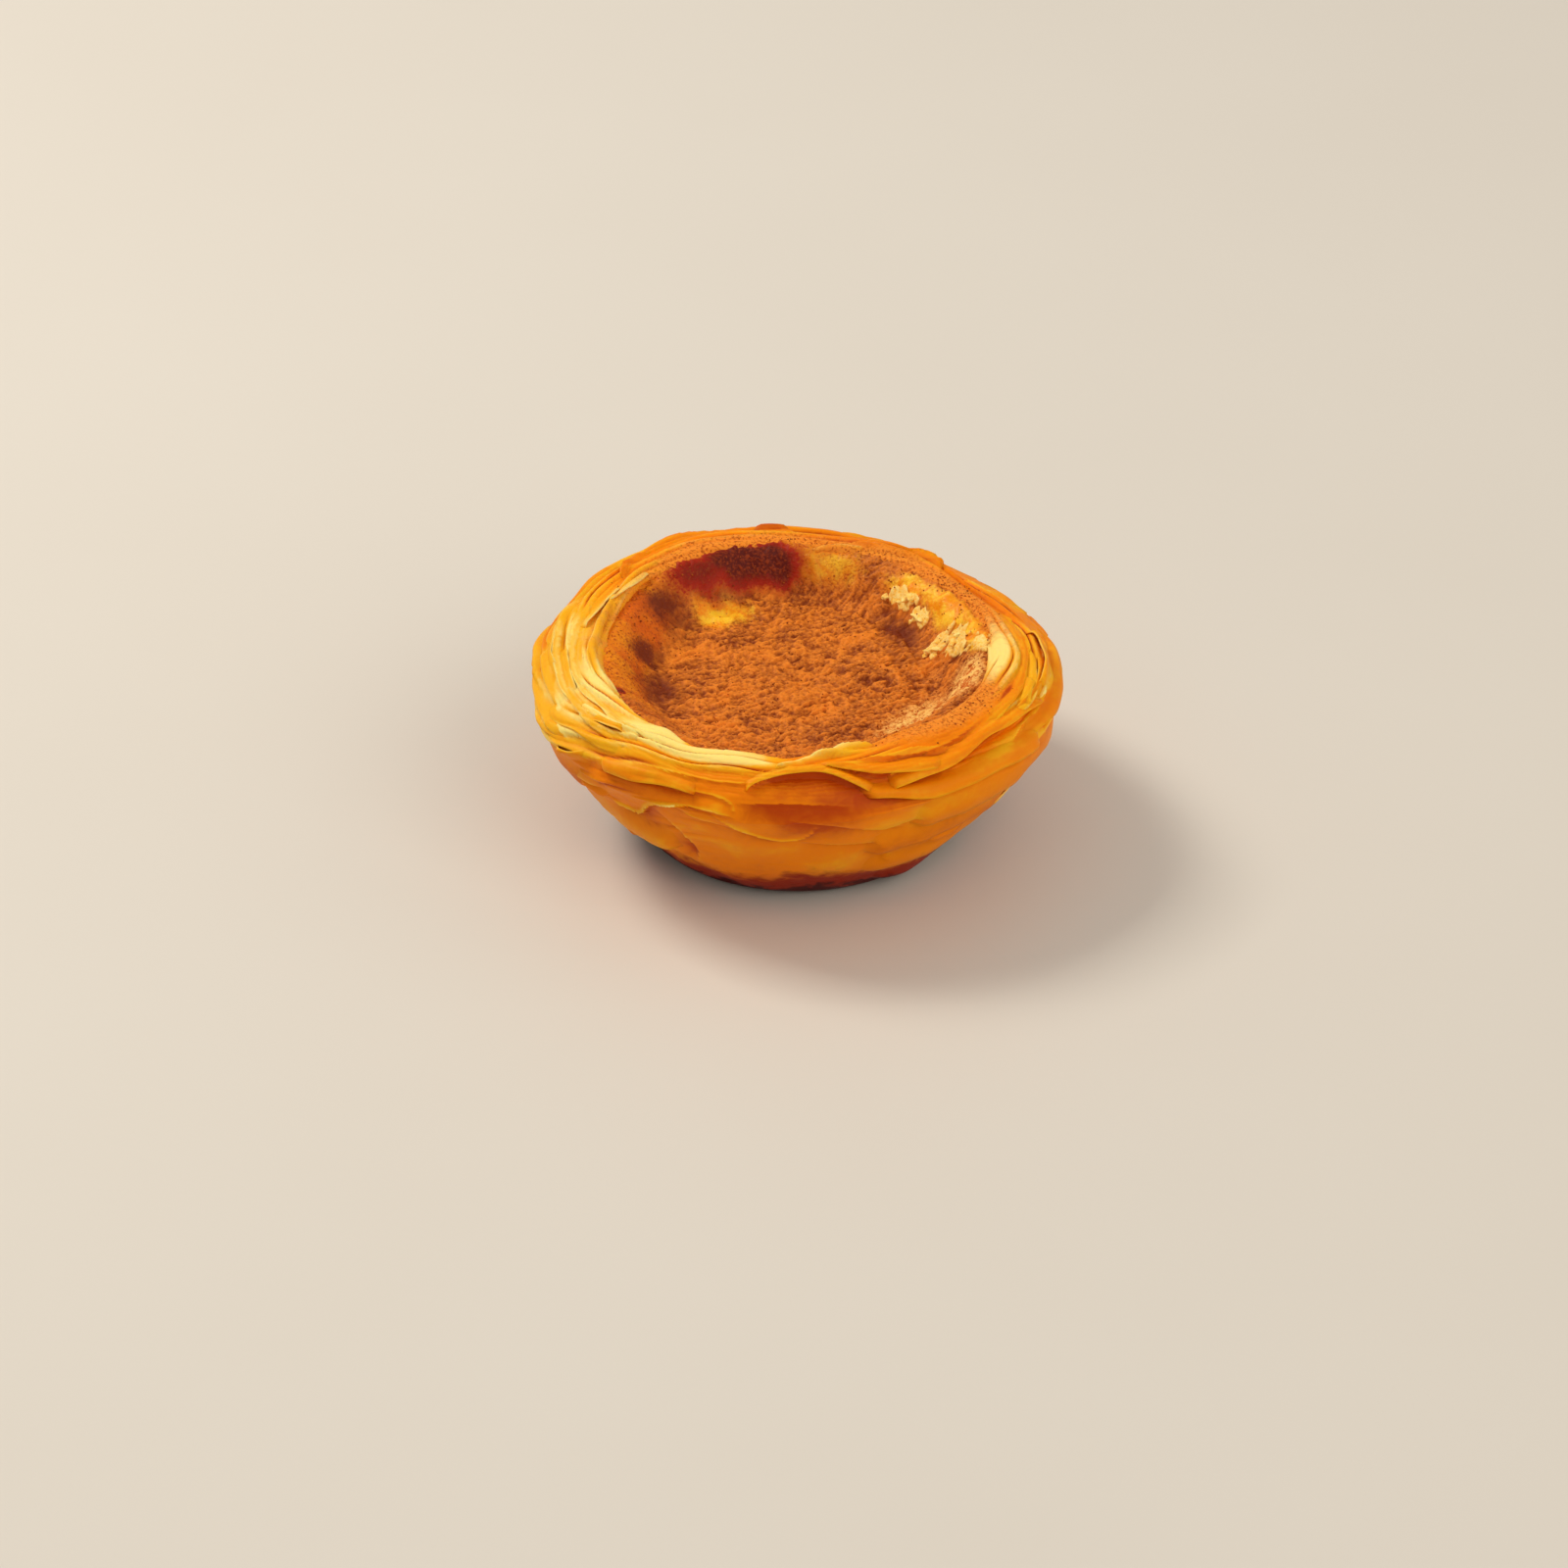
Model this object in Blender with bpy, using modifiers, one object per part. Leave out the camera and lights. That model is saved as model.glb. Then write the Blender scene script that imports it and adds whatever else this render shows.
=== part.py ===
"""Portuguese custard tart: a puff-pastry case, wound from thin laps, filled with baked custard.

Metres, +Z up. The origin is the centre of the flat base, and the tart's best side faces -Y.
Both pieces are turned from a profile and then worked by the same hand, so that the custard
keeps an even gap to the case wherever the case is pulled out of round.
"""

import math

import bmesh
import bpy
from mathutils import Vector, noise

# Driving dimensions of the case.
WIDEST_RADIUS = 0.0373
WIDEST_HEIGHT = 0.0218
BASE_RADIUS = 0.0212
BASE_CORNER = 0.0009
CREST_RADIUS = 0.0293
CREST_HEIGHT = 0.0284
FLOOR_RADIUS = 0.0150
FLOOR_THICKNESS = 0.0032
SEGMENTS = 72

# The wall's inside: where it stands on the floor, half-way up, and at the custard's edge.
WALL_FOOT = (0.0178, 0.0048)
WALL_MIDDLE = (0.0235, 0.0140)
WALL_SHOULDER = (0.0264, 0.0205)
WALL_TOP = (0.0266, 0.0236)
RIM_INNER_STEPS = 3
RIM_OUTER_STEPS = 5

# The side: laps of pastry that overlap like boards, each one flaring to its lower edge.
LAP_COUNT = 5
LAP_STEP = 0.0009
LAP_BOTTOM = 0.0022
LAP_TOP = 0.0206
SIDE_BULGE = 0.80

# Shares of a lap: how far its upper edge tucks in and its middle stands out, of its step,
# and how much of its height the turned-under lower edge takes.
LAP_TUCK = 0.2
LAP_BELLY = 0.3
LAP_UNDERCUT = 0.14

# The laps climb and fall as they go round, and each height does so at its own place.
LAP_DRIFT = 0.0013
LAP_DRIFT_TWIST = 0.0022

# The custard, which sinks in the middle as it cools.
CUSTARD_GAP = 0.0004
CUSTARD_CENTRE_HEIGHT = 0.0204
CUSTARD_EDGE_HEIGHT = 0.0226
CUSTARD_SAG_POWER = 3.5
CUSTARD_STEPS = 6

# How far the hand-pressed rim is from a true circle: waves, as (count round, size, phase).
RIM_WAVES = ((2, 0.00035, 1.9), (3, 0.00040, 0.4), (7, 0.00022, 2.6))
OUTLINE_WAVES = ((3, 0.00045, 0.9), (5, 0.00030, 2.2))

# The one flat that the rim has, pressed inwards and a little down.
FLAT_ANGLE = math.radians(33)
FLAT_WIDTH = math.radians(27)
FLAT_DEPTH = 0.0016
FLAT_DROP = 0.0010

# Small dents all over the outside, and the radii between which the outside begins.
CRUMPLE = 0.0005
CRUMPLE_SIZE = 0.007
CRUMPLE_SEED = Vector((3.1, 0.0, 5.7))
OUTSIDE = (0.0250, 0.0340)


def smooth_step(low, high, value):
    share = min(1.0, max(0.0, (value - low) / (high - low)))
    return share * share * (3 - 2 * share)


def side_radius(height):
    """Outer radius of the case below its widest ring: a cup that swells a little."""
    return BASE_RADIUS + (WIDEST_RADIUS - BASE_RADIUS) * (height / WIDEST_HEIGHT) ** SIDE_BULGE


def quarter_round(side, top, steps):
    """Points on the quarter ellipse between a point on an upright side and the top of it."""
    turns = [math.pi / 2 * step / steps for step in range(steps + 1)]
    return [
        (
            top[0] + (side[0] - top[0]) * math.cos(turn),
            side[1] + (top[1] - side[1]) * math.sin(turn),
        )
        for turn in turns
    ]


def lapped_side():
    """Points down the outer side, where every lap steps in under its own lower edge."""
    lap_height = (LAP_TOP - LAP_BOTTOM) / LAP_COUNT
    points = []
    for lap in range(LAP_COUNT):
        high = LAP_TOP - lap * lap_height
        low = high - lap_height
        middle = (high + low) / 2
        points.append((side_radius(high) - LAP_STEP * LAP_TUCK, high))
        points.append((side_radius(middle) + LAP_STEP * LAP_BELLY, middle))
        points.append((side_radius(low) + LAP_STEP, low + lap_height * LAP_UNDERCUT))
    return points


def case_profile():
    """From the middle of the cup's floor, up its inside, over the rim and down to the base."""
    crest = (CREST_RADIUS, CREST_HEIGHT)
    inside = [(0.0, FLOOR_THICKNESS), (FLOOR_RADIUS, FLOOR_THICKNESS)]
    inside += [WALL_FOOT, WALL_MIDDLE, WALL_SHOULDER]
    inner_rim = quarter_round(WALL_TOP, crest, RIM_INNER_STEPS)
    outer_rim = quarter_round((WIDEST_RADIUS, WIDEST_HEIGHT), crest, RIM_OUTER_STEPS)
    outer_rim.reverse()
    base = [
        (side_radius(BASE_CORNER), BASE_CORNER),
        (BASE_RADIUS - BASE_CORNER, 0.0),
        (0.0, 0.0),
    ]
    return inside + inner_rim[:-1] + outer_rim + lapped_side() + base


def custard_profile():
    """From the middle of the sunken skin, out to the case and down its inside."""
    edge_radius = WALL_SHOULDER[0] - CUSTARD_GAP
    rise = CUSTARD_EDGE_HEIGHT - CUSTARD_CENTRE_HEIGHT
    shares = [step / CUSTARD_STEPS for step in range(CUSTARD_STEPS + 1)]
    skin = [
        (edge_radius * share, CUSTARD_CENTRE_HEIGHT + rise * share**CUSTARD_SAG_POWER)
        for share in shares
    ]
    wall = [
        (radius - CUSTARD_GAP, height) for radius, height in (WALL_SHOULDER, WALL_MIDDLE)
    ]
    foot = [
        (WALL_FOOT[0] - CUSTARD_GAP, WALL_FOOT[1] + CUSTARD_GAP),
        (FLOOR_RADIUS, FLOOR_THICKNESS + CUSTARD_GAP),
        (0.0, FLOOR_THICKNESS + CUSTARD_GAP),
    ]
    return skin + wall + foot


def worked(point):
    """Where a point of the turned shape goes when the dough is pressed, pulled and baked."""
    radius = math.hypot(point.x, point.y)
    angle = math.atan2(point.y, point.x)
    raised = smooth_step(0.0, WIDEST_HEIGHT, point.z)
    rim = smooth_step(WIDEST_HEIGHT * 0.8, CREST_HEIGHT, point.z)
    outer = smooth_step(*OUTSIDE, radius)

    outline = sum(size * math.cos(n * angle + phase) for n, size, phase in OUTLINE_WAVES)
    turn = math.atan2(math.sin(angle - FLAT_ANGLE), math.cos(angle - FLAT_ANGLE))
    flat = math.exp(-((turn / FLAT_WIDTH) ** 2))
    crumple = CRUMPLE * noise.noise(point / CRUMPLE_SIZE + CRUMPLE_SEED)
    stretched = radius + raised * (outline * radius / WIDEST_RADIUS) + outer * raised * crumple
    stretched -= outer * rim * FLAT_DEPTH * flat

    height = point.z
    height += rim * sum(size * math.cos(n * angle + phase) for n, size, phase in RIM_WAVES)
    height -= rim * outer * FLAT_DROP * flat
    on_side = outer * smooth_step(BASE_CORNER, LAP_TOP * 0.4, point.z) * (1 - rim)
    height += on_side * LAP_DRIFT * math.sin(2 * angle + point.z / LAP_DRIFT_TWIST)
    return Vector((stretched * math.cos(angle), stretched * math.sin(angle), height))


def turned(name, profile, material, collection):
    """A solid of revolution round Z, worked by hand afterwards."""
    outline = bpy.data.meshes.new(name)
    edges = [(i, i + 1) for i in range(len(profile) - 1)]
    outline.from_pydata([(radius, 0.0, height) for radius, height in profile], edges, [])
    piece = bpy.data.objects.new(name, outline)
    collection.objects.link(piece)

    screw = piece.modifiers.new("Turn", "SCREW")
    screw.steps = screw.render_steps = SEGMENTS
    screw.use_merge_vertices = True
    screw.merge_threshold = 1e-6

    bpy.context.view_layer.update()
    evaluated = piece.evaluated_get(bpy.context.evaluated_depsgraph_get())
    solid = bpy.data.meshes.new_from_object(evaluated)
    piece.modifiers.clear()
    piece.data = solid
    bpy.data.meshes.remove(outline)
    solid.name = name

    shape = bmesh.new()
    shape.from_mesh(solid)
    bmesh.ops.remove_doubles(shape, verts=shape.verts, dist=1e-6)
    for vertex in shape.verts:
        vertex.co = worked(vertex.co)
    shape.to_mesh(solid)
    shape.free()

    solid.materials.clear()
    solid.materials.append(material)
    solid.shade_smooth()
    solid.set_sharp_from_angle(angle=math.radians(50))
    return piece


def centre_on_origin(pieces):
    """Moves all pieces together so that the tart's box stands centred over the origin."""
    corners = [vertex.co for piece in pieces for vertex in piece.data.vertices]
    middle_x = (min(p.x for p in corners) + max(p.x for p in corners)) / 2
    middle_y = (min(p.y for p in corners) + max(p.y for p in corners)) / 2
    for piece in pieces:
        for vertex in piece.data.vertices:
            vertex.co -= Vector((middle_x, middle_y, 0.0))


def baked_material(name, colour, roughness):
    material = bpy.data.materials.new(name)
    material.use_nodes = True
    shader = material.node_tree.nodes["Principled BSDF"]
    shader.inputs["Base Color"].default_value = (*colour, 1.0)
    shader.inputs["Roughness"].default_value = roughness
    shader.inputs["Metallic"].default_value = 0.0
    material.diffuse_color = (*colour, 1.0)
    return material


def clear_scene():
    for leftover in list(bpy.data.objects):
        bpy.data.objects.remove(leftover)


def build():
    clear_scene()
    tart = bpy.data.collections.new("custard_tart")
    bpy.context.scene.collection.children.link(tart)
    pastry = baked_material("baked_pastry", (0.72, 0.27, 0.025), 0.42)
    custard = baked_material("browned_custard", (0.50, 0.15, 0.025), 0.60)
    pieces = [
        turned("pastry_case", case_profile(), pastry, tart),
        turned("custard_filling", custard_profile(), custard, tart),
    ]
    centre_on_origin(pieces)


build()
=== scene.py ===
"""A Portuguese custard tart, standing alone on a pale table.

The case is puff pastry, wound from one long lap and pressed into a tin; the custard is baked in it
until it scorches, sinks as it cools, and is dusted with cinnamon. Metres, +Z up.
"""

import math
import random

import bmesh
import bpy
import numpy as np
from mathutils import Matrix, Vector, noise


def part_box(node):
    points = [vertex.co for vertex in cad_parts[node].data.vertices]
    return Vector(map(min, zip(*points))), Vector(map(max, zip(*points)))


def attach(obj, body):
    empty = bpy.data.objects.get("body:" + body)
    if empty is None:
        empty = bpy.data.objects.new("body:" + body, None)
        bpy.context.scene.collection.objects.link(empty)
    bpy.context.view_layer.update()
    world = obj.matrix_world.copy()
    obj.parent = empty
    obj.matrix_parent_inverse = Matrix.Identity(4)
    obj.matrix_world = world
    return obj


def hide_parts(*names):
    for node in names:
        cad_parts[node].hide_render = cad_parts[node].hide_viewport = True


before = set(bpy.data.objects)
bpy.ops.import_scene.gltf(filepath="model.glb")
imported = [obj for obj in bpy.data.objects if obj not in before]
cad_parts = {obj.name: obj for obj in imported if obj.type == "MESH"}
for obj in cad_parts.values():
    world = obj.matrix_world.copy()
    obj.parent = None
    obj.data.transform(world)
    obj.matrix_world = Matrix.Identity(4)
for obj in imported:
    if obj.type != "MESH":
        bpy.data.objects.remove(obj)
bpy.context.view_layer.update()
mm = 0.001


# ---------------------------------------------------------------- table, light and camera
# A pale matt table, one soft window light from behind the tart's left shoulder, and fills from
# the front and the right. The camera stands a long way off and looks down on the tart.

case_low, case_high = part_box("pastry_case")
tart_middle = (case_low + case_high) / 2

view_height = math.radians(32.5)
view_distance = 1.21
camera_data = bpy.data.cameras.new("Camera")
camera_data.lens = 195.0
camera_data.sensor_width = 36.0
camera_data.shift_x = -0.008
camera_data.shift_y = -0.038
camera = bpy.data.objects.new("Camera", camera_data)
camera_away = Vector((0.0, -math.cos(view_height), math.sin(view_height)))
camera.location = tart_middle + camera_away * view_distance
camera.rotation_euler = (-camera_away).to_track_quat("-Z", "Y").to_euler()
bpy.context.scene.collection.objects.link(camera)
bpy.context.scene.camera = camera
bpy.context.scene.view_settings.view_transform = "Standard"


def light_colour(red, green, blue):
    """Linear colour from the everyday 0 to 255 scale."""
    shares = [part / 255 for part in (red, green, blue)]
    return tuple(s / 12.92 if s <= 0.04045 else ((s + 0.055) / 1.055) ** 2.4 for s in shares)


def hang_light(name, turn, height, distance, size, watts, tint):
    """A square soft light, aimed at the tart from that turn round it and height above it."""
    lamp = bpy.data.lights.new(name, "AREA")
    lamp.size = size
    lamp.energy = watts
    lamp.color = tint
    holder = bpy.data.objects.new(name, lamp)
    flat = math.cos(math.radians(height))
    away = Vector((
        flat * math.cos(math.radians(turn)),
        flat * math.sin(math.radians(turn)),
        math.sin(math.radians(height)),
    ))
    holder.location = tart_middle + away * distance
    holder.rotation_euler = (-away).to_track_quat("-Z", "Y").to_euler()
    bpy.context.scene.collection.objects.link(holder)


daylight = (1.0, 0.93, 0.79)
warm_light = (1.0, 0.91, 0.76)
hang_light("Window", turn=150, height=48, distance=0.9, size=0.30, watts=4.9, tint=daylight)
hang_light("FrontFill", turn=-50, height=38, distance=1.2, size=0.8, watts=4.6, tint=warm_light)
hang_light("SideFill", turn=4, height=26, distance=1.2, size=0.7, watts=1.7, tint=warm_light)

room = bpy.data.worlds.new("Room")
room.use_nodes = True
sky = room.node_tree.nodes["Background"]
sky.inputs["Color"].default_value = (1.0, 0.94, 0.84, 1.0)
sky.inputs["Strength"].default_value = 0.46
bpy.context.scene.world = room


class Shade:
    """A value on its way through a material. Sums on it add Math nodes; node() adds any other."""

    def __init__(self, tree, socket=None):
        self.tree = tree
        self.socket = socket

    def node(self, kind, settings=None, inputs=None, output=0):
        made = self.tree.nodes.new(kind)
        for name, value in (settings or {}).items():
            setattr(made, name, value)
        for name, value in (inputs or {}).items():
            if isinstance(value, Shade):
                self.tree.links.new(value.socket, made.inputs[name])
            elif made.inputs[name].type == "RGBA":
                made.inputs[name].default_value = (*value, 1.0)
            else:
                made.inputs[name].default_value = value
        return Shade(self.tree, made.outputs[output])

    def maths(self, operation, other=0.0, swapped=False):
        inputs = {0: other, 1: self} if swapped else {0: self, 1: other}
        return self.node("ShaderNodeMath", {"operation": operation}, inputs)

    def __add__(self, other):
        return self.maths("ADD", other)

    __radd__ = __add__

    def __mul__(self, other):
        return self.maths("MULTIPLY", other)

    __rmul__ = __mul__

    def __sub__(self, other):
        return self.maths("SUBTRACT", other)

    def __rsub__(self, other):
        return self.maths("SUBTRACT", other, swapped=True)

    def between(self, low, high):
        """0 below low, 1 above high, and a smooth climb between them."""
        return self.node(
            "ShaderNodeMapRange",
            {"interpolation_type": "SMOOTHSTEP"},
            {"Value": self, "From Min": low, "From Max": high},
        )

    def tint(self, without, full):
        """The first colour where this value is 0, and the second where it is 1."""
        return self.node("ShaderNodeMix", {"data_type": "RGBA"}, {0: self, 6: without, 7: full}, 2)


def new_finish(name, roughness, subsurface=0.0, depth=0.0015, gloss=0.5):
    """A material, its shader, and a Shade to start from that holds the piece's own coordinates."""
    material = bpy.data.materials.new(name)
    material.use_nodes = True
    shader = material.node_tree.nodes["Principled BSDF"]
    shader.inputs["Roughness"].default_value = roughness
    shader.inputs["Subsurface Weight"].default_value = subsurface
    shader.inputs["Subsurface Radius"].default_value = (1.0, 0.42, 0.12)
    shader.inputs["Subsurface Scale"].default_value = depth
    shader.inputs["Specular IOR Level"].default_value = gloss
    place = Shade(material.node_tree).node("ShaderNodeTexCoord", output=3)
    return material, shader, place


def grain(place, size, detail=2.0, warp=0.0):
    """Noise from 0 to 1 whose lumps are about that size, in metres."""
    inputs = {"Vector": place, "Scale": 1 / size, "Detail": detail, "Distortion": warp}
    return place.node("ShaderNodeTexNoise", None, inputs)


def connect(value, shader, socket):
    value.tree.links.new(value.socket, shader.inputs[socket])


def relief(value, shader, height, strength=1.0):
    """Raises the surface by the value times the height, in metres, for light only."""
    bump = value.node(
        "ShaderNodeBump", None, {"Height": value, "Distance": height, "Strength": strength}
    )
    connect(bump, shader, "Normal")


def make_piece(shape, name, material, smooth=True):
    """Turns a finished shape into an object of that name and material, at the origin."""
    for face in shape.faces:
        face.smooth = smooth
    mesh = bpy.data.meshes.new(name)
    shape.to_mesh(mesh)
    shape.free()
    mesh.materials.append(material)
    piece = bpy.data.objects.new(name, mesh)
    bpy.context.scene.collection.objects.link(piece)
    return piece


table_reach = 3.0
table_material, table_shader, table_place = new_finish("pale_table", 0.55)
table_cloud = grain(table_place, 0.09, 3.0)
connect(
    table_cloud.tint(light_colour(218, 214, 210), light_colour(214, 209, 204)),
    table_shader,
    "Base Color",
)
relief(grain(table_place, 0.004, 4.0), table_shader, 0.05 * mm, 0.4)
shape = bmesh.new()
bmesh.ops.create_grid(shape, x_segments=1, y_segments=1, size=table_reach)
table = make_piece(shape, "table", table_material, smooth=False)


# ---------------------------------------------------------------- pastry case
# A cup of laminated dough, its laps wound in a spiral so that they come up at the rim edge-on.
# Pressed into a tin with wet thumbs, so it is a little out of round, and flat on one shoulder.

widest_radius = (case_high.x - case_low.x) / 2
lap_allowance = 0.7 * mm
rim_height = case_high.z - lap_allowance
crest_radius = widest_radius * 0.785
widest_height = rim_height * 0.765
base_radius = widest_radius * 0.565
base_corner = 0.9 * mm
wall_radius = widest_radius * 0.713
wall_height = rim_height * 0.83
floor_radius = 15.0 * mm
floor_thickness = 3.2 * mm
hidden_wall = (wall_radius - 4.5 * mm, 12.0 * mm)
side_swell = 0.80
quarter_steps = 24
side_steps = 39


def side_radius(height):
    """Radius of the cup below its widest ring: it swells a little on the way up."""
    return base_radius + (widest_radius - base_radius) * (height / widest_height) ** side_swell


def outline_points():
    """(radius, height) from the cup's hidden floor up, over the crest and down; the crest's index."""
    quarter = [math.pi / 2 * step / quarter_steps for step in range(quarter_steps + 1)]
    inside = [(0.0, floor_thickness), (floor_radius, floor_thickness), hidden_wall]
    inner_rim = [
        (
            crest_radius + (wall_radius - crest_radius) * math.cos(turn),
            wall_height + (rim_height - wall_height) * math.sin(turn),
        )
        for turn in quarter
    ]
    outer_rim = [
        (
            crest_radius + (widest_radius - crest_radius) * math.sin(turn),
            widest_height + (rim_height - widest_height) * math.cos(turn),
        )
        for turn in quarter[1:]
    ]
    heights = np.linspace(widest_height, base_corner, side_steps + 1)[1:]
    side = [(side_radius(height), height) for height in heights]
    base = [(base_radius - base_corner, 0.0), (0.0, 0.0)]
    return np.array(inside + inner_rim + outer_rim + side + base), len(inside) + quarter_steps


outline, crest_index = outline_points()
steps_along = np.hypot(*np.diff(outline, axis=0).T)
outline_down = np.concatenate([[0.0], np.cumsum(steps_along)])
outline_down -= outline_down[crest_index]
widest_down = float(np.interp(-widest_height, -outline[crest_index:, 1], outline_down[crest_index:]))
corner_down = float(outline_down[-3])
outward = np.gradient(outline, outline_down, axis=0)


def smooth(low, high, value):
    """0 at low, 1 at high, and a smooth climb between them, whichever of the two is larger."""
    share = min(1.0, max(0.0, (value - low) / (high - low)))
    return share * share * (3 - 2 * share)


def near(turn, centre, width):
    """1 at that turn round the tart, in degrees, fading out over the width."""
    apart = (turn - centre + 180) % 360 - 180
    return math.exp(-((apart / width) ** 2))


# Where the shoulder was pressed flat and the crest pulled out, as turn and width in degrees, and
# where the rim dips, with the depth in mm.
flat_shoulder = (33, 27)
pulled_crest = (248, 34)
rim_dips = ((77, 9, 0.7), (98, 45, 1.5), (250, 25, 0.5))


def pressed(turn, radius, height):
    """Where a point of the round cup goes when the dough is pressed and pulled out of round."""
    angle = math.radians(turn)
    raised = smooth(0.0, widest_height, height)
    rim = smooth(widest_height * 0.8, rim_height, height)
    outer = smooth(25 * mm, 34 * mm, radius)
    swell = 0.45 * mm * math.cos(3 * angle + 0.9) + 0.30 * mm * math.cos(5 * angle + 2.2)
    radius += raised * swell * radius / widest_radius
    flat = near(turn, *flat_shoulder)
    radius -= outer * rim * 1.7 * mm * flat
    height -= outer * rim * 1.0 * mm * flat
    on_crest = smooth(19 * mm, 27 * mm, radius) * (1 - smooth(31 * mm, 37 * mm, radius)) * rim
    radius += on_crest * 1.7 * mm * near(turn, *pulled_crest)
    wave = 0.35 * math.cos(2 * angle + 1.9) + 0.40 * math.cos(3 * angle + 0.4)
    dip = sum(depth * near(turn, centre, width) for centre, width, depth in rim_dips)
    height += rim * (wave - dip) * mm
    return Vector((radius * math.cos(angle), radius * math.sin(angle), max(height, 0.0)))


def dough(turn, down, out=0.0):
    """A point on the case: that turn round it in degrees, that far down from the crest, that proud."""
    radius, height = (float(np.interp(down, outline_down, column)) for column in outline.T)
    fall, rise = (float(np.interp(down, outline_down, column)) for column in outward.T)
    size = math.hypot(fall, rise) or 1.0
    return pressed(turn, radius - rise / size * out, height + fall / size * out)


laps_in_a_turn = 3
rim_pitch = 1.9 * mm
side_pitch = 6.0 * mm


def lap_place(turn, down):
    """Which lap of the wound dough shows there; whole numbers are the lines between laps."""
    rim_down = widest_down + 1 * mm
    fine = min(down, rim_down)
    broad = max(0.0, down - rim_down)
    angle = math.radians(turn)
    round_it = Vector((math.cos(angle), math.sin(angle), 0.0))
    sway = 0.9 * noise.noise(round_it * 1.6 + Vector((0, 0, down / (9 * mm))))
    sway += 0.35 * noise.noise(round_it * 4.0 + Vector((7, 0, down / (5 * mm))))
    whorl = 2.4 * near(turn, 262, 44) - 1.2 * near(turn, 160, 50)
    return fine / rim_pitch + broad / side_pitch + laps_in_a_turn * turn / 360 + sway + whorl


def lap_relief(turn, down):
    """How proud the dough is there, how much painted shade its crack gets, from 0 to 1, and its painted
    light.
    """
    place = lap_place(turn, down)
    share = place - math.floor(place)
    angle = math.radians(turn)
    round_it = Vector((math.cos(angle), math.sin(angle), 0.0))
    line = round(place) % laps_in_a_turn
    fade = noise.noise(round_it * 2.4 + Vector((line * 5.3, 0, down / (7 * mm))))
    calm = near(turn, 305, 42) * smooth(2 * mm, 6 * mm, down)
    behind_petal = smooth(30, 12, abs(turn - 272)) * smooth(2 * mm, 4 * mm, down)
    fade = smooth(-0.3, 0.3, fade) * (1 - 0.75 * calm) * (1 - 0.9 * behind_petal)
    cord = 1 - (2 * share - 1) ** 2
    scale = smooth(0.0, 0.2, share) * (1 - 0.7 * share) * smooth(1.0, 0.88, share)
    body = 0.45 * cord + 0.75 * scale
    level = noise.noise(round_it * 2.2 + Vector((0, 0, down / (2.4 * mm))))
    on_side = smooth(widest_down - 2 * mm, widest_down + 4 * mm, down)
    on_crest = smooth(-5 * mm, -1 * mm, down)
    above_base = 1 - smooth(corner_down - 5 * mm, corner_down, down)
    seen = on_crest * above_base
    laps = 0.72 * body * fade * (1 - 0.8 * on_side)
    proud = (laps + 0.4 * level * (1 - behind_petal) * (1 - 0.5 * on_side)) * mm * seen
    # Painted shade in the cracks between the laps, and painted light: lighter on the raised laps,
    # darker in the hollows.
    crack_shade = fade * (1 - min(1.0, 1.5 * body)) * seen * (1 - 0.6 * on_side)
    painted_light = fade * (0.5 * body - 0.28) * seen * (1 - 0.6 * on_side)
    return proud, crack_shade, painted_light


def spot(turn, down, at_turn, at_down, width, height):
    """1 at a place on the case, fading out over that many degrees and mm."""
    return near(turn, at_turn, width) * math.exp(-(((down / mm - at_down) / height) ** 2))


# A knob of dough that stands up on the crest: turn, mm down, width in degrees and height in mm.
knob = (233, -0.6, 5, 1.3)

# Where the dough is painted lighter, or darker, than the rest: a place as above, and by how much.
# The crest at the front, the right side and the end of the front lobe are painted highlights; the
# slit, the dough under the front leaves and just under the rim at the back are painted shade.
tone_and_light_spots = [
    (*knob, 0.6),
    (236, 1.2, 17, 1.7, 0.6),  # the crest at the front
    (252, 0.8, 12, 1.1, 0.85),
    (243, -0.6, 3, 0.9, -0.4),
    (350, 8.0, 24, 6.5, 0.32),  # the right side
    (322, 7.0, 16, 3.0, 0.12),
    (336, 2.6, 4.0, 0.5, -0.8),
    (262, 9.5, 40, 2.5, -0.14),  # under the front leaves
    (252.5, 9.5, 4, 1.3, 0.3),
    (229, 11.5, 13, 3.0, -0.06),
    (258, 13.5, 8, 1.8, 0.14),  # low on the front
    (258, 21.0, 16, 4.0, 0.16),
    (305, 19.0, 20, 5.0, 0.1),
    (100, 4.0, 40, 1.4, -0.3),  # just under the rim at the back
    (45, 4.0, 25, 1.4, -0.25),
]


def tone_with_painted_light(turn, down):
    """The dough's tone there, from 0, deep orange, past 0.4, amber, to 1, cream, with painted light."""
    angle = math.radians(turn)
    round_it = Vector((math.cos(angle), math.sin(angle), 0.0))
    rim = smooth(-5 * mm, -1 * mm, down) * (1 - smooth(7 * mm, 14 * mm, down))
    # Painted light: the rim is painted paler on the left, towards the window, and on the right side.
    left = 0.42 * near(turn, 197, 38) + 0.16 * near(turn, 130, 30)
    right = 0.16 * spot(turn, down, 345, 0.0, 40, 4.0) + 0.5 * spot(turn, down, 357, -0.8, 20, 2.0)
    cloud = 0.26 * noise.noise(round_it * 2.5 + Vector((5, 0, down / (9 * mm))))
    spots = sum(amount * spot(turn, down, *place) for *place, amount in tone_and_light_spots)
    return 0.36 + rim * (left + right) + spots + cloud


def dusting(turn, down):
    """How much of the cinnamon fell on the rim there: most at the back and on the right."""
    back = max(near(turn, 85, 60), 0.4 * near(turn, 160, 40))
    right = max(near(turn, 25, 40), 0.8 * near(turn, 322, 30))
    most = min(1.0, 1.3 * max(back, right)) - 0.65 * spot(turn, down, 357, -0.8, 18, 2.2)
    return max(0.0, most) * (1 - smooth(-1 * mm, 5.0 * mm, down))


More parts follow.
